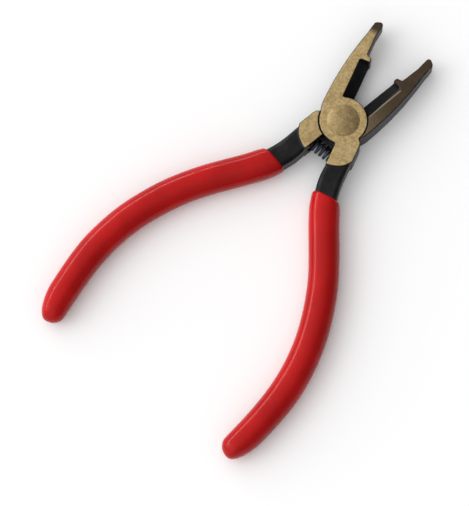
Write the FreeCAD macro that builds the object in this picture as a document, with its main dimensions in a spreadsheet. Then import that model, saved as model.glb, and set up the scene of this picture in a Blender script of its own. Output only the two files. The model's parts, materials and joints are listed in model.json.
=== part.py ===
import FreeCAD, Part
import math
import os
import re
import Sketcher
from FreeCAD import Vector

# Small spring-loaded lap-joint crimping pliers.
# Every piece is drawn as it lies with the jaws shut: the pivot stands on Z, the jaws point along +Y,
# the upper half keeps its jaw on the left (x < 0) and its handle on the right.  The lower half is the
# same forging turned over about the long axis.  The pieces are then placed with the pliers fully open.
doc = FreeCAD.newDocument("crimping_pliers")

# ------------------------------------------------------------------ driving sizes (mm and degrees)
SIZES = [
    ("head_thickness", 9.0, "thickness of the ground head; the grips are as thick"),
    ("half_opening", 13.0, "each jaw's angle from the middle with the pliers open"),
    ("stop_margin", 0.3, "angle left at the opening stop"),
    ("running_gap", 0.03, "gap between faces that slide on each other"),
    ("disc_radius", 7.0, "round lap plate around the pivot"),
    ("horn_width", 0.62, "metal outside the lap plate at the jaw root"),
    ("button_radius", 4.7, "domed rivet head on the upper lap plate"),
    ("button_height", 1.0, "how far the dome stands above the plate"),
    ("rivet_diameter", 5.0, "rivet shank"),
    ("rivet_head_diameter", 7.6, "flush head under the lower plate"),
    ("rivet_head_height", 1.5, "height of the countersunk head"),
    ("jaw_length", 31.1, "pivot to jaw tip"),
    ("tip_width", 2.85, "jaw width close to the tip"),
    ("tip_relief", 1.6, "each crimping face stands back this far"),
    ("jaw_slope", 5.0, "the hidden face of each jaw thins at this angle"),
    ("tooth_start", 18.8, "pivot to the wall that ends the cutter"),
    ("tooth_thickness", 1.3, "thickness of that wall"),
    ("recess_width", 3.1, "cutter bevel measured on the jaw face"),
    ("cutter_land", 0.3, "height of the cutting edge"),
    ("shoulder_gap", 0.57, "shoulder inner face to the middle line"),
    ("shoulder_width", 7.4, "outer side of the shoulder"),
    ("shoulder_end", 13.8, "pivot to the end of the ground shoulder face"),
    ("shank_width", 6.1, "bare shank between shoulder and grip"),
    ("mouth_distance", 21.0, "pivot to the open end of the grip"),
    ("handle_length", 80.5, "grip length along the pliers"),
    ("handle_bow", 13.5, "sideways bow of the handle"),
    ("grip_width", 8.8, "widest part of the grip seen from above"),
    ("spring_distance", 10.35, "pivot to the spring axis"),
    ("spring_diameter", 4.2, "outside of the coil"),
    ("wire_diameter", 0.9, "spring wire"),
    ("spring_turns", 6.0, "turns of the coil"),
    ("seat_clearance", 0.07, "room around the coil in its seat"),
    ("pocket_depth", 2.7, "depth of the spring seat"),
]
sheet = doc.addObject("Spreadsheet::Sheet", "Sizes")
for row, (name, value, note) in enumerate(SIZES, 1):
    sheet.set("A%d" % row, note)
    sheet.set("B%d" % row, str(value))
    sheet.setAlias("B%d" % row, name)
doc.recompute()
WORDS = re.compile(r"\b(%s)\b" % "|".join(name for name, _, _ in SIZES))


def size(text):
    """An expression written with the plain size names above."""
    return WORDS.sub(r"Sizes.\1", str(text))


def number(text):
    answer = sheet.evalExpression(size(text))
    return float(getattr(answer, "Value", answer))


# ------------------------------------------------------------------ small drawing helpers
def new_sketch(body, name, plane, offset=None):
    sketch = body.newObject("Sketcher::SketchObject", name)
    face = [f for f in body.Origin.OriginFeatures if f.Role == plane][0]
    sketch.AttachmentSupport = [(face, "")]
    sketch.MapMode = "FlatFace"
    if offset:
        sketch.setExpression("AttachmentOffset", size(offset))
    return sketch


def bind(sketch, kind, args, label, text):
    """One dimension tied to the sheet; a length of nothing becomes a point on the axis."""
    measured = number(text)
    if kind != "Radius" and abs(measured) < 1e-9:
        sketch.addConstraint(Sketcher.Constraint("PointOnObject", args[2], args[3],
                                                 -2 if kind == "DistanceX" else -1))
        return
    index = sketch.addConstraint(Sketcher.Constraint(kind, *args, measured))
    sketch.renameConstraint(index, label)
    sketch.setExpression("Constraints." + label, size(text))


def outline(body, name, plane, corners, offset=None):
    """Closed outline through corners (x, y), anticlockwise; a third entry makes the side to the next
    corner an arc of that radius, bulging outwards."""
    sketch = new_sketch(body, name, plane, offset)
    points = [Vector(number(c[0]), number(c[1]), 0) for c in corners]
    starts = []
    for i, corner in enumerate(corners):
        a, b = points[i], points[(i + 1) % len(points)]
        if len(corner) == 2:
            sketch.addGeometry(Part.LineSegment(a, b), False)
        else:
            half, radius = (b - a).Length / 2, number(corner[2])
            left = Vector(-(b - a).y, (b - a).x, 0).normalize()
            centre = (a + b) * 0.5 + left * math.sqrt(max(radius * radius - half * half, 0))
            turns = [math.atan2(p.y - centre.y, p.x - centre.x) for p in (a, b)]
            ring = Part.Circle(centre, Vector(0, 0, 1), radius)
            sketch.addGeometry(Part.ArcOfCircle(ring, *turns), False)
        shape = sketch.Geometry[i]
        starts.append(1 if shape.StartPoint.distanceToPoint(a) < 1e-6 else 2)
    for i, corner in enumerate(corners):
        after = (i + 1) % len(points)
        sketch.addConstraint(Sketcher.Constraint("Coincident", i, 3 - starts[i], after, starts[after]))
    for i, corner in enumerate(corners):
        bind(sketch, "DistanceX", (-1, 1, i, starts[i]), "across%d" % i, corner[0])
        bind(sketch, "DistanceY", (-1, 1, i, starts[i]), "along%d" % i, corner[1])
        if len(corner) > 2:
            bind(sketch, "Radius", (i,), "bend%d" % i, corner[2])
    return sketch


def circle(body, name, plane, radius, offset=None):
    sketch = new_sketch(body, name, plane, offset)
    sketch.addGeometry(Part.Circle(Vector(0, 0, 0), Vector(0, 0, 1), number(radius)), False)
    sketch.addConstraint(Sketcher.Constraint("Coincident", 0, 3, -1, 1))
    bind(sketch, "Radius", (0,), "bend", radius)
    return sketch


def feature(body, kind, name, sketch, length=None, symmetric=False):
    made = body.newObject("PartDesign::" + kind, name)
    made.Profile = sketch
    if length is not None:
        made.setExpression("Length", size(length))
    if symmetric:
        made.SideType = "Symmetric"
    if kind in ("Groove", "Revolution"):
        made.ReferenceAxis = (sketch, ["V_Axis"])
        made.Angle = 360
    doc.recompute()
    sketch.Visibility = False
    return made


# ------------------------------------------------------------------ the handle's run, jaws shut
# (distance along the handle, sideways share of the bow, slope of the run) from grip mouth to grip end
RUN = [(0.0, 0.0, 1.45), (0.10, 0.21, 2.55), (0.26, 0.63, 2.30), (0.42, 0.905, 1.18),
       (0.56, 1.0, 0.12), (0.72, 0.925, -1.10), (0.87, 0.68, -1.95), (0.97, 0.475, -2.05)]


def station(share, bow, slope):
    """Where a cross-section of the handle stands."""
    return ("placement(vector(shank_width / 2 + shoulder_gap + 0.6 + handle_bow * %s; head_thickness / 2; "
            "mouth_distance + handle_length * %s); rotation(0; atan(%s * handle_bow / handle_length); 0))"
            % (bow, share, slope))


def block(body, name, place, width, thick, corner):
    """Rounded rectangle standing across the handle."""
    half_w, half_t = "(%s) / 2" % width, "(%s) / 2" % thick
    in_w, in_t = "(%s - %s)" % (half_w, corner), "(%s - %s)" % (half_t, corner)
    corners = [(in_w, "-" + half_t, corner), (half_w, "-" + in_t), (half_w, in_t, corner),
               (in_w, half_t), ("-" + in_w, half_t, corner), ("-" + half_w, in_t),
               ("-" + half_w, "-" + in_t, corner), ("-" + in_w, "-" + half_t)]
    return outline(body, name, "XZ_Plane", corners, place)


def tang_sections(body, prefix, extra):
    """Shank and tang: square at the shoulder, rounder and slimmer towards the end of the grip."""
    middle = "vector(shank_width / 2 + shoulder_gap + %s; head_thickness / 2; %s)"
    made = [
        block(body, prefix + "_root", "placement(%s; rotation(0; 0; 0))" % (middle % ("0.2", "disc_radius + 1.2")),
              "shank_width + 0.1 + 2 * %s" % extra, "head_thickness - 0.5 + 2 * %s" % extra, "1"),
        block(body, prefix + "_shank", "placement(%s; rotation(0; 2; 0))" % (middle % ("0.1", "shoulder_end + 1.2")),
              "shank_width + 0.4 + 2 * %s" % extra, "head_thickness - 0.9 + 2 * %s" % extra, "1.2"),
    ]
    for i, (share, bow, slope) in enumerate(RUN):
        width = "shank_width - %s + 2 * %s" % (round(0.1 + 1.5 * share - (0.7 if i == 0 else 0), 3), extra)
        thick = "head_thickness - %s + 2 * %s" % (round(1.5 + 2.2 * share, 3), extra)
        made.append(block(body, "%s_%d" % (prefix, i + 1), station(share - (0.035 if i == 7 else 0), bow +
                          (0.07 if i == 7 else 0), slope), width, thick, "1.6"))
    return made


def loft(body, kind, name, sections):
    made = body.newObject("PartDesign::" + kind, name)
    made.Profile = sections[0]
    made.Sections = sections[1:]
    made.Ruled = False
    doc.recompute()
    for sketch in sections:
        sketch.Visibility = False
    return made


# ------------------------------------------------------------------ one forging: jaw, plate, shank, tang
def make_half(label, upper):
    body = doc.addObject("PartDesign::Body", label)
    body.Label = label

    # jaw blank: closing edge, tooth, set-back crimping face, tip, long outer curve, root
    jaw = outline(body, label + "_jaw_outline", "XY_Plane", [
        ("-running_gap / 2", "disc_radius * 0.6"),
        ("-running_gap / 2", "tooth_start + tooth_thickness"),
        ("-tip_relief", "tooth_start + tooth_thickness + 0.7"),
        ("-tip_relief", "jaw_length - 4.4"),
        ("-tip_relief + 0.5", "jaw_length - 0.6", "0.9"),
        ("-tip_relief - tip_width * 0.35", "jaw_length", "1.2"),
        ("-tip_relief - tip_width * 0.75", "jaw_length - 1.3"),
        ("-tip_relief - tip_width * 0.95", "jaw_length - 4.4", "3 * jaw_length"),
        ("-disc_radius - horn_width", "disc_radius * 0.5", "1.4 * disc_radius"),
        ("-disc_radius - horn_width * 0.25", "0"),
        ("-disc_radius * 0.75", "0"),
    ])
    feature(body, "Pad", label + "_jaw", jaw, "head_thickness")

    # side cutter: a bevel from each face down to the cutting edge on the closing line
    for side, sign in (("own", 1), ("far", -1)):
        face, land = "head_thickness / 2 + %d * (head_thickness / 2 + 0.5)" % sign, \
            "head_thickness / 2 + %d * cutter_land / 2" % sign
        bevel = outline(body, "%s_%s_bevel" % (label, side), "XZ_Plane",
                        [("-running_gap / 2", land), ("2", land), ("2", face),
                         ("-recess_width * %s" % (1.11 if side == "own" else 1.36), face)],
                        "placement(vector(0; 0; -disc_radius * 0.5); rotation(0; 0; 0))")
        feature(body, "Pocket", "%s_%s_recess" % (label, side), bevel, "tooth_start - disc_radius * 0.5")

    # the face turned away from the forging's own side thins towards the tip; its own side dips at the tip
    thin = outline(body, label + "_thinning_outline", "YZ_Plane", [
        ("disc_radius + 1", "0"), ("jaw_length + 2", "0"),
        ("jaw_length + 2", "(jaw_length + 1 - disc_radius) * tan(jaw_slope)")])
    feature(body, "Pocket", label + "_thinning", thin, "60", True)
    dip = outline(body, label + "_tip_dip_outline", "YZ_Plane", [
        ("jaw_length - 3.4", "head_thickness"), ("jaw_length + 2", "head_thickness - 1.1"),
        ("jaw_length + 2", "head_thickness + 1"), ("jaw_length - 3.4", "head_thickness + 1")])
    feature(body, "Pocket", label + "_tip_dip", dip, "60", True)

    # shank and tang, bowed like the grip that covers them
    loft(body, "AdditiveLoft", label + "_tang", tang_sections(body, label + "_tang_section", "0"))

    # shoulder block with the opening stop on its top corner
    stop = "(2 * half_opening + stop_margin)"
    shoulder = outline(body, label + "_shoulder_outline", "XY_Plane", [
        ("disc_radius * 0.7 * cos(%s)" % stop, "-disc_radius * 0.7 * sin(%s)" % stop),
        ("shoulder_gap", "-disc_radius * 0.8"),
        ("shoulder_gap", "-shoulder_end", "9"),
        ("shoulder_width", "-shoulder_end + 3.7"),
        ("shoulder_width", "-disc_radius * 0.72", "2.4"),
        ("(disc_radius + 0.18) * cos(%s)" % stop, "-(disc_radius + 0.18) * sin(%s)" % stop)])
    feature(body, "Pad", label + "_shoulder", shoulder, "head_thickness")

    # round lap plate in the half of the thickness on the forging's own side
    plate = circle(body, label + "_plate_outline", "XY_Plane", "disc_radius",
                   "placement(vector(0; 0; head_thickness / 2 + running_gap / 2); rotation(0; 0; 0))")
    feature(body, "Pad", label + "_plate", plate, "head_thickness / 2 - running_gap / 2")
    step = circle(body, label + "_step_outline", "XY_Plane", "disc_radius + 2 * running_gap",
                  "placement(vector(0; 0; head_thickness / 2 + running_gap / 2); rotation(0; 0; 0))")
    feature(body, "Pocket", label + "_step", step, "head_thickness")

    # rivet hole: plain in the upper half, countersunk flush in the lower half
    bore, rim = "rivet_diameter / 2 + running_gap", "rivet_head_diameter / 2 + running_gap"
    if upper:
        profile = [("0", "head_thickness / 2 - 1"), (bore, "head_thickness / 2 - 1"),
                   (bore, "head_thickness + 1"), ("0", "head_thickness + 1")]
    else:
        profile = [("0", "head_thickness / 2 - 1"), (bore, "head_thickness / 2 - 1"),
                   (bore, "head_thickness - rivet_head_height - running_gap"),
                   (rim, "head_thickness - 0.3"), (rim, "head_thickness + 1"), ("0", "head_thickness + 1")]
    hole = outline(body, label + "_rivet_hole_outline", "XZ_Plane", profile)
    feature(body, "Groove", label + "_rivet_hole", hole)

    # blind seat for the return spring in the inner face of the shoulder; with the pliers open the coil
    # lies slanted in it, so the seat is wider than the coil by that slant and the clearance
    slant = "(pocket_depth - wire_diameter) / 2 * tan(half_opening)"
    seat = circle(body, label + "_spring_seat_outline", "YZ_Plane",
                  "spring_diameter / 2 / cos(half_opening) + %s + seat_clearance" % slant,
                  "placement(vector(-spring_distance; head_thickness / 2; shoulder_gap + pocket_depth);"
                  " rotation(0; 0; 0))")
    feature(body, "Pocket", label + "_spring_seat", seat, "pocket_depth + 1")

    # the tang stops short of the closed end of its grip
    share, bow, slope = RUN[7]
    trim = block(body, label + "_tang_end_outline", station(share - 0.035, bow + 0.07, slope), "20", "20", "1")
    end = feature(body, "Pocket", label + "_tang_end", trim, "0.4")
    body.Tip = end
    return body


def make_grip(label):
    body = doc.addObject("PartDesign::Body", label)
    body.Label = label
    outer = []
    for i, (share, bow, slope) in enumerate(RUN):
        narrow = (0.4, 0.25, 0.05, 0.0, 0.0, 0.1, 0.3, 0.5)[i]
        # the mouth is cut square to the pliers, and the closed end leans towards the other handle
        slope = {0: -0.6, 7: -2.6}.get(i, slope)
        outer.append(block(body, "%s_section_%d" % (label, i + 1), station(share, bow, slope),
                           "grip_width - %s" % narrow, "head_thickness - %s" % (0.3 if i == 0 else 0), "3.2"))
    loft(body, "AdditiveLoft", label + "_sleeve", outer)
    cap = feature(body, "Pad", label + "_closed_end",
                  block(body, label + "_end_section", station(share, bow, slope), "grip_width - 0.5",
                        "head_thickness", "3.2"), "handle_length * 0.03 + 0.2")
    far = max(body.Shape.Faces, key=lambda f: -f.CenterOfMass.y)
    names = ["Edge%d" % (i + 1) for i, edge in enumerate(body.Shape.Edges)
             if any(edge.isSame(other) for other in far.Edges)]
    rounding = body.newObject("PartDesign::Fillet", label + "_end_rounding")
    rounding.Base = (cap, names)
    rounding.Radius = 2.3
    doc.recompute()
    loft(body, "SubtractiveLoft", label + "_cavity", tang_sections(body, label + "_cavity_section",
                                                                  "running_gap"))
    return body


upper_half = make_half("upper_jaw_half", True)
lower_half = make_half("lower_jaw_half", False)
upper_grip = make_grip("upper_half_grip")
lower_grip = make_grip("lower_half_grip")

# ------------------------------------------------------------------ rivet
rivet = doc.addObject("PartDesign::Body", "pivot_rivet")
rivet.Label = "pivot_rivet"
dome = "(button_radius * button_radius + button_height * button_height) / (2 * button_height)"
top = "head_thickness + running_gap"
rivet_profile = outline(rivet, "rivet_profile", "XZ_Plane", [
    ("0", "0"), ("rivet_head_diameter / 2", "0"), ("rivet_head_diameter / 2", "0.3"),
    ("rivet_diameter / 2", "rivet_head_height"), ("rivet_diameter / 2", top),
    ("button_radius", top, dome), ("0", top + " + button_height")])
feature(rivet, "Revolution", "rivet_blank", rivet_profile)

# ------------------------------------------------------------------ return spring, coil along X
spring = doc.addObject("PartDesign::Body", "return_spring")
spring.Label = "return_spring"
reach = ("((shoulder_gap + pocket_depth) * cos(half_opening) + spring_distance * sin(half_opening)"
         " - spring_diameter / 2 * sin(half_opening) - wire_diameter / 2 - 0.06)")
wire = new_sketch(spring, "wire_section", "XZ_Plane")
wire.addGeometry(Part.Circle(Vector(number("(spring_diameter - wire_diameter) / 2"), 0, 0),
                             Vector(0, 0, 1), number("wire_diameter / 2")), False)
bind(wire, "DistanceX", (-1, 1, 0, 3), "across", "(spring_diameter - wire_diameter) / 2")
wire.addConstraint(Sketcher.Constraint("PointOnObject", 0, 3, -1))
bind(wire, "Radius", (0,), "bend", "wire_diameter / 2")
coil = spring.newObject("PartDesign::AdditiveHelix", "coil")
coil.Profile = wire
coil.ReferenceAxis = (wire, ["V_Axis"])
coil.Mode = "height-turns-angle"
coil.setExpression("Height", size("2 * " + reach))
coil.setExpression("Turns", size("spring_turns"))
doc.recompute()

# ------------------------------------------------------------------ everything in place, pliers open
for body in (upper_half, upper_grip):
    body.setExpression("Placement", size("placement(vector(0; 0; 0); rotation(half_opening; 0; 0))"))
for body in (lower_half, lower_grip):
    body.setExpression("Placement",
                       size("placement(vector(0; 0; head_thickness); rotation(-half_opening; 180; 0))"))
seat_middle = ("(-spring_distance * cos(half_opening)"
               " + (shoulder_gap + pocket_depth / 2) * sin(half_opening))")
spring.setExpression("Placement", size("placement(vector(-%s; %s; head_thickness / 2); rotation(0; 90; 0))"
                                       % (reach, seat_middle)))
doc.recompute()

# ------------------------------------------------------------------ check and write the pieces
pieces = (upper_half, lower_half, rivet, spring, upper_grip, lower_grip)
for obj in doc.Objects:
    if any(word in obj.State for word in ("Invalid", "Error")):
        raise RuntimeError("%s did not rebuild: %s" % (obj.Name, obj.State))
os.makedirs("parts", exist_ok=True)
for body in pieces:
    shape = body.Shape
    if shape.isNull() or not shape.isValid() or len(shape.Solids) != 1:
        raise RuntimeError("%s is not one sound solid (%d)" % (body.Label, len(shape.Solids)))
    shape.exportStep("parts/%s.step" % body.Label)
    box = shape.optimalBoundingBox()
    print("%-16s %8.1f mm3   x %.2f..%.2f  y %.2f..%.2f  z %.2f..%.2f" % (
        body.Label, shape.Volume, box.XMin, box.XMax, box.YMin, box.YMax, box.ZMin, box.ZMax))
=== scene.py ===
# %% [markdown]
# # Crimping pliers
# Small spring-loaded pliers with a lap joint, lying open on a pale table.  Two steel forgings turn on one
# rivet, a little coil spring pushes the handles apart, and the handles were dipped in red vinyl.
# The measured model is loaded first and stays as it is; every piece below is built around it.

# %% Load the measured model
import json
import math
import bmesh
import bpy
from mathutils import Matrix, Vector, noise

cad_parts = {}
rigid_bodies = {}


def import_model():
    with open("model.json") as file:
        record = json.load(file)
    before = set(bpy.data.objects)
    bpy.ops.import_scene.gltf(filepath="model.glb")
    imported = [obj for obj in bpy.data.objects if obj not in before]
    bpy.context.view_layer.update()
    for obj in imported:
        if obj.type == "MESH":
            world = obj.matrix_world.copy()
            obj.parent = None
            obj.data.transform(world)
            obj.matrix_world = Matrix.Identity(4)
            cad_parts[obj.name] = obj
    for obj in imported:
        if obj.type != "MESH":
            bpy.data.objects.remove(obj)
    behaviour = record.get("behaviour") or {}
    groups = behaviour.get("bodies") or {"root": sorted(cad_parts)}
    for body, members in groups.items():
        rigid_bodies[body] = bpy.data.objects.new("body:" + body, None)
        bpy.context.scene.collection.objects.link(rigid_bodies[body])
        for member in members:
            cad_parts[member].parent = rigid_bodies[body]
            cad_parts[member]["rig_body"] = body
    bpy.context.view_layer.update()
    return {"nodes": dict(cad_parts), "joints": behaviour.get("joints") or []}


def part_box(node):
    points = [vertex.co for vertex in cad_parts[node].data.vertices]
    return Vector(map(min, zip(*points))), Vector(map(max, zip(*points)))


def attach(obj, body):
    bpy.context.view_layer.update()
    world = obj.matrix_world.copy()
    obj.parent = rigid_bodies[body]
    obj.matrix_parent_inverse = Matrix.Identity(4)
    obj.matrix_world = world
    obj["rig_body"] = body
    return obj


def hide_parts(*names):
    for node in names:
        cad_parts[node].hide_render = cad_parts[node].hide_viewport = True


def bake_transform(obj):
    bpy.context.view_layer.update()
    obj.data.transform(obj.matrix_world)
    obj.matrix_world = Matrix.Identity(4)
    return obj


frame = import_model()

MM = 0.001
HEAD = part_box("lower_jaw_half")[1].z          # thickness of the ground head
MIDDLE = HEAD / 2
PIVOT = Vector((0, 0, HEAD))                  # the pivot where it meets the upper face
OPEN = math.radians(frame["joints"][0]["range_deg"][1]) / 2   # each half stands this far from shut
X, Y, Z = 0, 1, 2                             # the parts of a vector, by number

# %% [markdown]
# ## Camera
# A long lens almost straight above the table, leaning a little towards the handles, keeps the outline true.
# It could look straight down, but the lean shows the sides of the jaws and how thick the head is.

# %% Camera
TURN, LEAN, DISTANCE = math.radians(37.38), math.radians(13.3), 1.1
SENSOR = 24                                      # mm
VIEW_HEIGHT = 144.4 * MM                         # how much of the table fits from bottom to top
PIVOT_RIGHT, PIVOT_UP = 31.04 * MM, 37.86 * MM   # where the pivot shows, from the middle of the view
right = Vector((math.cos(TURN), math.sin(TURN), 0))
up = Vector((-math.sin(TURN), math.cos(TURN), 0))
look_from = Vector((0, 0, 1)) * math.cos(LEAN) - up * math.sin(LEAN)
screen_up = look_from.cross(right)
aim = PIVOT - right * PIVOT_RIGHT - screen_up * PIVOT_UP
camera_data = bpy.data.cameras.new("camera")
camera_data.sensor_fit, camera_data.sensor_height = "VERTICAL", SENSOR
camera_data.lens = SENSOR * DISTANCE / VIEW_HEIGHT
camera = bpy.data.objects.new("camera", camera_data)
bpy.context.scene.collection.objects.link(camera)
camera.matrix_world = Matrix((
    (right.x, screen_up.x, look_from.x, 0), (right.y, screen_up.y, look_from.y, 0),
    (right.z, screen_up.z, look_from.z, 0), (0, 0, 0, 1)))
camera.matrix_world.translation = aim + look_from * DISTANCE
bpy.context.scene.camera = camera
print("lens", round(camera_data.lens, 1), "mm")

# %% [markdown]
# ## Writing shaders as sums
# Node graphs are easier to read as arithmetic.  The small class below wraps a socket, so that `a * b + 0.2`
# adds the Math nodes, and one method makes any other node from its type, settings and inputs.  An input is
# named with underscores for spaces, or by number, as in i0, where several inputs share a name.


# %% Socket arithmetic
class Wire:
    """A node socket that can be used in sums."""

    def __init__(self, tree, socket=None):
        self.tree, self.socket = tree, socket

    def node(self, kind, settings=None, out=0, **inputs):
        made = self.tree.nodes.new(kind)
        for key, value in (settings or {}).items():
            setattr(made, key, value)
        for key, value in inputs.items():
            numbered = key[0] == "i" and key[1:].isdigit()
            slot = made.inputs[int(key[1:]) if numbered else key.replace("_", " ")]
            if isinstance(value, Wire):
                self.tree.links.new(value.socket, slot)
            elif slot.type == "RGBA":
                slot.default_value = (*value, 1)
            else:
                slot.default_value = value
        return Wire(self.tree, made.outputs[out])

    def math(self, operation, *others):
        values = {"i%d" % i: value for i, value in enumerate((self, *others))}
        return self.node("ShaderNodeMath", {"operation": operation}, **values)

    def __add__(self, other): return self.math("ADD", other)
    __radd__ = __add__

    def __mul__(self, other): return self.math("MULTIPLY", other)
    __rmul__ = __mul__

    def __sub__(self, other): return self.math("SUBTRACT", other)
    def __rsub__(self, other): return (self * -1.0) + other
    def __abs__(self): return self.math("ABSOLUTE")

    def either(self, other): return self.math("MAXIMUM", other)

    def part(self, number):
        """One part of a vector."""
        return self.node("ShaderNodeSeparateXYZ", out=number, i0=self)

    def fade(self, low, high, start=0.0, end=1.0):
        """start at low, end at high, smooth between (low may be the larger)."""
        return self.node("ShaderNodeMapRange", {"interpolation_type": "SMOOTHSTEP"}, Value=self,
                         From_Min=float(low), From_Max=float(high), To_Min=start, To_Max=end)

    def mix(self, low, high):
        """A colour between two colours, with this value as the share of the second."""
        return self.node("ShaderNodeMix", {"data_type": "RGBA"}, out=2, i0=self, i6=low, i7=high)

    def noise(self, scale, detail=3.0, rough=0.5):
        """Cloudy grey from 0 to 1; scale is in lumps to the metre."""
        return self.node("ShaderNodeTexNoise", Vector=self, Scale=scale, Detail=detail, Roughness=rough)


def plug(shader, name, value):
    """Sets a socket to a plain number, or links a sum to it."""
    if isinstance(value, Wire):
        value.tree.links.new(value.socket, shader.inputs[name])
    else:
        shader.inputs[name].default_value = value


print("a wire knows", [name for name in vars(Wire) if not name.startswith("_")])

# %% [markdown]
# ## Light
# Three soft sources: a pale sky that is brighter on the left, a softbox on the same side, and a long thin
# strip low down for the gloss line along the vinyl.  One small lamp would draw hard shadows and burnt glints.
# The sky's fade follows directions and not places, so it needs only a dot product and a map range.

# %% Sky
SKY_DIM, SKY_BRIGHT = 0.34, 1.62
bpy.context.scene.view_settings.view_transform = "Standard"
world = bpy.data.worlds.new("studio")
bpy.context.scene.world = world
world.use_nodes = True
backdrop = world.node_tree.nodes["Background"]
backdrop.inputs["Color"].default_value = (1, 1, 1, 1)
bright_side = (right * -0.90 - up * 0.12 + Vector((0, 0, 0.45))).normalized()
direction = Wire(world.node_tree).node("ShaderNodeTexCoord", out="Generated")
towards = direction.node("ShaderNodeVectorMath", {"operation": "DOT_PRODUCT"}, out="Value",
                         i0=direction, i1=bright_side)
plug(backdrop, "Strength", towards.fade(-0.30, 0.98, SKY_DIM, SKY_BRIGHT))
print("sky", SKY_DIM, "to", SKY_BRIGHT)


# %% Softboxes
def softbox(name, place, width, height, power):
    """A rectangular lamp that looks at the middle of the view."""
    light = bpy.data.lights.new(name, "AREA")
    light.shape, light.size, light.size_y, light.energy = "RECTANGLE", width, height, power
    lamp = bpy.data.objects.new(name, light)
    bpy.context.scene.collection.objects.link(lamp)
    lamp.location = aim + place
    lamp.rotation_euler = (-place).to_track_quat("-Z", "Y").to_euler()
    print(name, width, "x", height, "m,", power, "W")
    return lamp


softbox("left_softbox", right * -0.80 - up * 0.10 + Vector((0, 0, 0.75)), 0.55, 0.55, 1.3)
strip = softbox("low_strip", right * -0.76 + up * 0.56 + Vector((0, 0, 0.42)), 2.0, 0.05, 11.0)

# %% [markdown]
# ## Table
# A sheet of white card.  Plain paint is enough, because the card is only there to catch the shadow.  The
# strip is kept off it by light linking; a flag in front of the lamp would do the same in a studio.

# %% Table
CARD = 3.0                                    # half the side of the card, in metres
corners = [(-CARD, -CARD, 0), (CARD, -CARD, 0), (CARD, CARD, 0), (-CARD, CARD, 0)]
mesh = bpy.data.meshes.new("table")
mesh.from_pydata(corners, [], [(0, 1, 2, 3)])
table = bpy.data.objects.new("table", mesh)
bpy.context.scene.collection.objects.link(table)
paper = bpy.data.materials.new("paper")
paper.use_nodes = True
paint = paper.node_tree.nodes["Principled BSDF"]
paint.inputs["Base Color"].default_value = (0.98, 0.98, 0.98, 1)
paint.inputs["Roughness"].default_value = 0.9
table.data.materials.append(paper)
# the low strip is there for the gloss on the vinyl; on the card it would only draw long shadows
spared = bpy.data.collections.new("spared_by_strip")
spared.objects.link(table)
spared.collection_objects[0].light_linking.link_state = "EXCLUDE"
strip.light_linking.receiver_collection = spared
print("table", tuple(round(v, 2) for v in table.dimensions))

# %% [markdown]
# ## Red vinyl
# The handles are dipped in liquid vinyl and baked, which leaves a thick glossy skin with slow waves in it.
# A plain red would look moulded; two sizes of noise bend the gloss a little and shift the red slightly.


# %% Vinyl
def new_material(name):
    """An empty material: its shader, and the place on the surface as a Wire."""
    made = bpy.data.materials.new(name)
    made.use_nodes = True
    tree = made.node_tree
    tree.nodes.clear()
    shader = tree.nodes.new("ShaderNodeBsdfPrincipled")
    output = tree.nodes.new("ShaderNodeOutputMaterial")
    tree.links.new(shader.outputs[0], output.inputs[0])
    return made, shader, Wire(tree).node("ShaderNodeTexCoord", out="Object")


vinyl, shader, place = new_material("dipped_vinyl")
waves = place.noise(90.0, 2.0)
grain = place.noise(900.0, 2.0)
plug(shader, "Base Color", waves.fade(0.35, 0.7).mix((0.30, 0.003, 0.003), (0.37, 0.004, 0.004)))
plug(shader, "Roughness", 0.19 + grain * 0.06)
plug(shader, "Specular IOR Level", 0.14)
plug(shader, "Normal", place.node("ShaderNodeBump", Height=waves * 0.9 + grain * 0.03, Strength=0.22,
                                  Distance=1.2 * MM))
print(vinyl.name, len(vinyl.node_tree.nodes), "nodes")

# %% [markdown]
# ## Forged steel
# One forging carries two finishes.  The flat faces of the head are ground to a warm satin, and everything
# else keeps its black oxide.  The border could be painted by hand, but the faces are told apart here by
# which way they look and how far from the pivot they lie, as a grinding wheel would.

# %% Steel colours
BLACK = (0.011, 0.0115, 0.011)
BLACK_WORN = (0.022, 0.022, 0.023)
TAN_LOW, TAN_HIGH = (0.255, 0.176, 0.070), (0.42, 0.310, 0.148)
# painted shade: the jaw face that slopes away from the light, and the dipping tip, are painted dark brown
# instead of lit tan
SLOPE_SHADE_BROWN = (0.053, 0.034, 0.017)                 # the sloped jaw face and the tip
SLOPE_SHADE_NEAR_JOINT = (0.110, 0.076, 0.040)                  # the same face close to the joint
# painted highlight: the light line along the bevel's long edge
EDGE_HIGHLIGHT = (0.20, 0.170, 0.115)


def darker(colour, share):
    return tuple(part * share for part in colour)


print("ground", TAN_LOW, "to", TAN_HIGH)

# %% Where each finish lies
# in millimetres, with the jaws shut and along +Y, and the handle of this half on the right
GRIND_CENTRE, GRIND_RADIUS = (0.12, -4.81), 9.05   # the grinding stops on this curve across the shoulder
# painted shade: past the tip line the dipping face is painted dark, as it tilts away from the light
TIP_LINE, TIP_FADE = 25.7, 2.4                     # the ground face dips and darkens from here
BEVEL_START, BEVEL_END = 6.0, 18.8                 # the cutter's bevel along the jaw
BEVEL_TOP, BEVEL_LEAN = 4.05, 0.026                # its long edge: off the closing line, and nearing it


def ground_faces(x, y, looks_up, border):
    """Flat faces from the jaws back to the curve across the shoulder."""
    from_centre = ((x - GRIND_CENTRE[X]) * (x - GRIND_CENTRE[X])
                   + (y - GRIND_CENTRE[Y]) * (y - GRIND_CENTRE[Y])).math("SQRT")
    inside = (from_centre + border).fade(GRIND_RADIUS + 0.07, GRIND_RADIUS - 0.07)
    return looks_up.fade(0.90, 0.975) * inside.either(y.fade(-5.0, -4.8))


def jaw_side(x, y):
    """Everything past the lap plate, down to the root of the jaw."""
    return y.fade(5.2, 6.2).either(x.fade(-3.4, -3.9) * y.fade(-7.0, -6.5))


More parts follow.
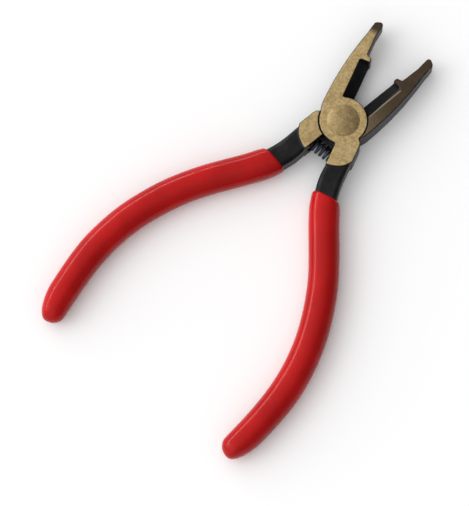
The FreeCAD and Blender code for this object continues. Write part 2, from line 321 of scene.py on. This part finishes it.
def edge_highlight(x, y):
    """Painted highlight along the long edge of the cutter's bevel, where the edge catches the light."""
    from_edge = abs(x + (BEVEL_TOP - y * BEVEL_LEAN))
    along_bevel = y.fade(BEVEL_END, BEVEL_END - 0.6) * y.fade(BEVEL_START, BEVEL_START + 1)
    return from_edge.fade(0.30, 0.08) * along_bevel


print("the ground face ends", round(GRIND_RADIUS - GRIND_CENTRE[Y], 2), "mm behind the pivot")


# %% Forged steel
def forged_steel(name, turn, side, lower):
    """turn is how far the half stands open; side is +1 when its handle lies on the right."""
    made, shader, place = new_material(name)
    # lay the half as if the jaws were shut, so that one set of lines fits both halves
    shut = place.node("ShaderNodeVectorRotate", {"rotation_type": "Z_AXIS"}, Vector=place, Angle=-turn)
    x, y, z = shut.part(X) * (side / MM), shut.part(Y) * (1 / MM), shut.part(Z)
    looks_up = abs(shut.node("ShaderNodeNewGeometry", out="Normal").part(Z))
    border = shut.noise(450.0) * 0.3
    ground = ground_faces(x, y, looks_up, border)

    # belt strokes slanting across the head, uneven oxide, and fine grain
    stroke = shut.node("ShaderNodeMapping", Vector=shut, Rotation=(0, 0, 0.5), Scale=(140, 1500, 1))
    lines = stroke.noise(1.0, 4.0, 0.6)
    blotch = shut.noise(260.0, 3.0, 0.6)
    fine = shut.noise(1500.0, 2.0, 0.6)
    tan = (lines * 0.15 + blotch * 0.20 + fine * 0.65).fade(0.34, 0.66).mix(TAN_LOW, TAN_HIGH)
    # painted shade for the sloped jaw face and tip: darker towards the tip, a little lighter near the joint,
    # mottled at random
    near = (y + blotch * 6.0).fade(19.0, 5.0)
    painted_slope_shade = (blotch * 0.5 + fine * 0.5).fade(0.35, 0.65).mix(
        near.mix(darker(SLOPE_SHADE_BROWN, 0.7), darker(SLOPE_SHADE_NEAR_JOINT, 0.8)), near.mix(SLOPE_SHADE_BROWN, SLOPE_SHADE_NEAR_JOINT))
    black = (blotch * 0.7 + fine * 0.3).fade(0.35, 0.75).mix(BLACK, BLACK_WORN)
    # from above, the lower half shows the thinned side of its jaw, which slopes away from the light and is
    # painted dark brown as shade instead of ground tan; the upper half's jaw is ground up to where its tip
    # dips, and painted with the same shade past there
    if lower:
        upper_face = z.fade(MIDDLE, MIDDLE + 0.5 * MM)
        face = (upper_face * jaw_side(x, y)).mix(tan, edge_highlight(x, y).mix(painted_slope_shade, EDGE_HIGHLIGHT))
    else:
        # past the tip line the upper jaw is painted with the slope shade
        tip_line = TIP_LINE + border * 2.0 - x * 0.15
        face = (y - tip_line).fade(0.0, TIP_FADE).mix(tan, painted_slope_shade)

    plug(shader, "Base Color", ground.mix(black, face))
    plug(shader, "Metallic", 0.9 - ground * 0.45)
    plug(shader, "Roughness", 0.42 + ground * 0.04 + fine * 0.06)
    plug(shader, "Specular IOR Level", 0.3)
    height = lines * (ground * 0.15) + fine * 0.4 + blotch * 0.4
    plug(shader, "Normal", shut.node("ShaderNodeBump", Height=height, Strength=0.25, Distance=0.2 * MM))
    print(name, len(made.node_tree.nodes), "nodes")
    return made


steel_upper = forged_steel("forged_steel_upper", OPEN, 1.0, False)
steel_lower = forged_steel("forged_steel_lower", -OPEN, -1.0, True)

# %% [markdown]
# ## The two forgings
# Each half is one drop forging: jaw, lap plate, shoulder and shank.  The measured solids have the right form
# but razor edges, and a bevel modifier would stumble where ground faces run into lofted ones.  A fine voxel
# remesh, relaxed twice, rounds every edge by the same small amount, as tumbling does.

# %% Forgings
VOXEL, RELAXED = 0.21 * MM, 2


def softened(node, material):
    """Remesh a copy of the forging finely and relax it a little."""
    source = frame["nodes"][node]
    piece = bpy.data.objects.new(node + "_forging", source.data.copy())
    bpy.context.scene.collection.objects.link(piece)
    remesh = piece.modifiers.new("even", "REMESH")
    remesh.mode, remesh.voxel_size, remesh.use_smooth_shade = "VOXEL", VOXEL, True
    relax = piece.modifiers.new("relax", "SMOOTH")
    relax.factor, relax.iterations = 0.5, RELAXED
    bpy.context.view_layer.update()
    final = bpy.data.meshes.new_from_object(piece.evaluated_get(bpy.context.evaluated_depsgraph_get()))
    piece.modifiers.clear()
    piece.data = final
    final.materials.clear()
    final.materials.append(material)
    for face in final.polygons:
        face.use_smooth = True
    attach(piece, source["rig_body"])
    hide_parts(node)
    print(piece.name, len(final.polygons), "faces")


softened("upper_jaw_half", steel_upper)
softened("lower_jaw_half", steel_lower)

# %% [markdown]
# ## Rivet
# A low domed head, turned and set in the lap plate.  Its measured form is right as it stands, so it only gets
# a finish: the same warm ground steel, a little rougher, since it was not ground with the head, and painted
# darker as shade for the dome tilting away from the light.

# %% Rivet
rivet_steel, shader, place = new_material("rivet_steel")
cloud = place.noise(400.0, 3.0, 0.6)
fine = place.noise(1800.0, 2.0, 0.6)
# painted shade: the rivet's tan is darkened to 0.74, for the dome tilting away from the light beside the flat
# ring
plug(shader, "Base Color", (cloud * 0.5 + fine * 0.5).fade(0.35, 0.65).mix(
    darker(TAN_LOW, 0.74), darker(TAN_HIGH, 0.74)))
plug(shader, "Metallic", 0.65)
plug(shader, "Roughness", 0.44 + fine * 0.1)
plug(shader, "Specular IOR Level", 0.3)
plug(shader, "Normal", place.node("ShaderNodeBump", Height=cloud * 0.5 + fine * 0.3, Strength=0.25,
                                  Distance=0.2 * MM))
rivet = frame["nodes"]["pivot_rivet"]
rivet.data.materials.clear()
rivet.data.materials.append(rivet_steel)
print(rivet_steel.name, "on", rivet.name)

# %% [markdown]
# ## Return spring
# A short coil of dark music wire, closed at both ends, sits in a blind hole in each shoulder.  A screw
# modifier would make even turns only; a swept circle lets the end turns lie closed as they are wound.

# %% Spring wire
spring_steel, shader, place = new_material("spring_steel")
drawn = place.noise(700.0, 3.0, 0.6)
plug(shader, "Base Color", drawn.fade(0.3, 0.7).mix((0.022, 0.026, 0.036), (0.055, 0.063, 0.085)))
plug(shader, "Metallic", 0.9)
plug(shader, "Roughness", 0.26 + drawn * 0.12)
print(spring_steel.name, len(spring_steel.node_tree.nodes), "nodes")


# %% Skins over rings
def skin(shape, rings):
    """Four-sided faces between each ring of points and the next."""
    for one, two in zip(rings, rings[1:]):
        for k in range(len(one)):
            after = (k + 1) % len(one)
            shape.faces.new((one[k], one[after], two[after], two[k]))


def to_object(name, shape, material):
    """The finished shape as a smooth object of one material."""
    bmesh.ops.recalc_face_normals(shape, faces=shape.faces)
    mesh = bpy.data.meshes.new(name)
    shape.to_mesh(mesh)
    shape.free()
    for face in mesh.polygons:
        face.use_smooth = True
    mesh.materials.append(material)
    made = bpy.data.objects.new(name, mesh)
    bpy.context.scene.collection.objects.link(made)
    print(name, len(mesh.polygons), "faces")
    return made


# %% Coil
WIRE, TURNS = 0.9 * MM, 7.25
CLOSED = 0.8                                  # turns that lie against the next one at each end


def coil_line(low, high, steps=36):
    """The middle of the wire: a coil along X that fills the box from low to high, with closed ends."""
    middle = (low + high) / 2
    radius = (high.z - low.z) / 2 - WIRE / 2
    first, last = low.x + WIRE / 2, high.x - WIRE / 2
    open_turns = TURNS - 2 * CLOSED
    open_pitch = ((last - first) - 2 * CLOSED * WIRE) / open_turns
    for i in range(int(TURNS * steps) + 1):
        turn = i / steps
        in_open = min(max(turn - CLOSED, 0), open_turns)
        in_closed = min(turn, CLOSED) + max(turn - CLOSED - open_turns, 0)
        angle = 2 * math.pi * turn
        yield Vector((first + in_closed * WIRE + in_open * open_pitch,
                      middle.y + radius * math.sin(angle), middle.z + radius * math.cos(angle)))


def swept_coil(name, low, high, material, sides=14):
    points = list(coil_line(low, high))
    middle = (low + high) / 2
    shape = bmesh.new()
    rings = []
    for i, point in enumerate(points):
        along = (points[min(i + 1, len(points) - 1)] - points[max(i - 1, 0)]).normalized()
        outward = Vector((0, point.y - middle.y, point.z - middle.z)).normalized()
        across = along.cross(outward).normalized()
        outward = across.cross(along)
        angles = (2 * math.pi * k / sides for k in range(sides))
        rings.append([shape.verts.new(point + (outward * math.cos(a) + across * math.sin(a)) * (WIRE / 2))
                      for a in angles])
    skin(shape, rings)
    shape.faces.new(rings[0][::-1])
    shape.faces.new(rings[-1])
    return to_object(name, shape, material)


low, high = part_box("return_spring")
coil = swept_coil("coil_spring", low, high, spring_steel)
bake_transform(coil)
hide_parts("return_spring")

# %% [markdown]
# ## Dipped grips
# A sleeve of vinyl follows the bowed handle.  It is squarer at its mouth and rounder further down, with a
# rolled lip where the dip stopped and a closed end that the dip left rounder outside than inside.  A bevelled
# curve could follow the bow but keeps one section all the way, so each sleeve is lofted ring by ring.

# %% Grip run
GRIP_MOUTH, GRIP_LENGTH = 21.0 * MM, 80.5 * MM    # where the grip starts, from the pivot, and how far it goes
GRIP_START, GRIP_BOW = 4.22 * MM, 13.5 * MM       # its distance from the middle line, and how far it bows out
# share of the grip's length, share of the bow, and how steeply the bow grows there
RUN = [(0.0, 0.0, 1.45), (0.10, 0.21, 2.55), (0.26, 0.63, 2.30), (0.42, 0.905, 1.18),
       (0.56, 1.0, 0.12), (0.72, 0.925, -1.10), (0.87, 0.68, -1.95), (0.97, 0.475, -2.05)]


def run_at(share):
    """Centre and direction of the handle, jaws shut, at a share of the grip length."""
    for (f0, g0, m0), (f1, g1, m1) in zip(RUN, RUN[1:]):
        if share <= f1:
            break
    span = f1 - f0
    t = min((share - f0) / span, 1.0)
    bow = ((2 * t ** 3 - 3 * t ** 2 + 1) * g0 + (t ** 3 - 2 * t ** 2 + t) * span * m0
           + (3 * t ** 2 - 2 * t ** 3) * g1 + (t ** 3 - t ** 2) * span * m1)
    slope = (6 * t * t - 6 * t) * (g0 - g1) / span + (3 * t * t - 4 * t + 1) * m0 + (3 * t * t - 2 * t) * m1
    bow += slope * max(share - RUN[-1][0], 0)      # straight on past the last station
    centre = Vector((GRIP_START + GRIP_BOW * bow, -GRIP_MOUTH - GRIP_LENGTH * share, MIDDLE))
    return centre, Vector((slope * GRIP_BOW, -GRIP_LENGTH, 0)).normalized()


print("handle ends", [round(v / MM, 1) for v in run_at(1.0)[0]], "mm from the pivot, jaws shut")

# %% Sleeve section
OUTER_NOSE, INNER_NOSE = 9.6 * MM, 3.4 * MM   # the closed end rounds off slowly outside, quickly inside
FIRST, LAST = 0.012, 1.004                    # mouth and tip, as shares of the grip length


def nose(left, length):
    """How much of the width is left at this distance from the tip."""
    return math.sqrt(max(1 - (max(length - left, 0) / length) ** 2, 0))


def section_at(share):
    """Half width, half thickness, roundness (2 is an ellipse) and slant of the sleeve."""
    swell = min(share / 0.05, 1.0)                 # the skin is thinner right at the mouth
    slimmer = max(share - 0.70, 0) / 0.27          # and the grip a little slimmer towards its end
    half_width = (4.05 + 0.38 * swell - 0.30 * slimmer) * MM
    half_thickness = (4.32 + 0.18 * swell) * MM
    roundness = 2.5 - 0.35 * min(share / 0.12, 1.0)
    slant = 0.40 * max(0.0, 1 - share / 0.08) ** 1.5
    return half_width, half_thickness, roundness, slant


def rounded(part, roundness):
    """A sine or cosine bent so that the circle becomes a squarer ring."""
    return math.copysign(abs(part) ** (2 / roundness), part)


print("widest half section", [round(v / MM, 2) for v in section_at(0.5)[:2]], "mm")

# %% Sleeve lofting
# the rolled lip, from the inside out: distance past the mouth and distance in from the skin, in mm
LIP = ((3.0, 0.95), (0.6, 0.9), (0.12, 0.8), (-0.10, 0.55), (-0.06, 0.28), (0.15, 0.08))
WAVE = 0.06 * MM                              # how far the dip's slow waves lift the skin


def ring_stations(body_rings=150, nose_rings=34):
    """Share of the length, distance past it and inset of every ring, from inside the mouth to the tip."""
    stations = [(FIRST, past * MM, inset * MM) for past, inset in LIP]
    body_start, body_end = FIRST + 0.006, LAST - OUTER_NOSE / GRIP_LENGTH
    for i in range(body_rings):
        stations.append((body_start + (body_end - body_start) * i / body_rings, 0.0, 0.0))
    for i in range(nose_rings):
        share = body_end + (LAST - body_end) * math.sin(math.pi / 2 * i / nose_rings)
        stations.append((share, 0.0, 0.0))
    return stations


def dipped_sleeve(name, side, material, sides=56):
    shape = bmesh.new()
    rings = []
    for share, past, inset in ring_stations():
        centre, along = run_at(share)
        centre = centre + along * past
        across = Vector((-along.y, along.x, 0))
        half_width, half_thickness, roundness, slant = section_at(share)
        left = (LAST - share) * GRIP_LENGTH
        outer, inner = nose(left, OUTER_NOSE), nose(left, INNER_NOSE)
        ring = []
        for k in range(sides):
            angle = 2 * math.pi * k / sides
            c, s = math.cos(angle), math.sin(angle)
            u = rounded(c, roundness) * (half_width - inset) * (outer if c > 0 else inner)
            v = rounded(s, roundness) * (half_thickness - inset) * (inner * 0.6 + outer * 0.4)
            spoke = across * u + Vector((0, 0, v))
            point = centre + spoke + along * (u * slant)
            lift = noise.noise(point * 120 + Vector((side * 7.0, 0, 0))) * WAVE if inset == 0 else 0
            ring.append(shape.verts.new(point + spoke.normalized() * lift * inner))
        rings.append(ring)
    skin(shape, rings)
    tip = shape.verts.new(run_at(LAST)[0])
    for k in range(sides):
        shape.faces.new((rings[-1][k], rings[-1][(k + 1) % sides], tip))
    shape.faces.new(rings[0][::-1])
    shape.transform(Matrix.Rotation(OPEN, 4, "Z"))
    if side < 0:
        shape.transform(Matrix.Scale(-1, 4, (1, 0, 0)))
    return to_object(name, shape, material)


print(len(ring_stations()), "rings to a sleeve")

# %% Both grips
for name, side, body, node, slot in (
        ("right_dipped_grip", 1, "upper_half", "upper_half_grip", "vinyl_upper"),
        ("left_dipped_grip", -1, "lower_half", "lower_half_grip", "vinyl_lower")):
    grip = dipped_sleeve(name, side, vinyl)
    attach(grip, body)
    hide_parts(node)

# %% [markdown]
# ## Finish
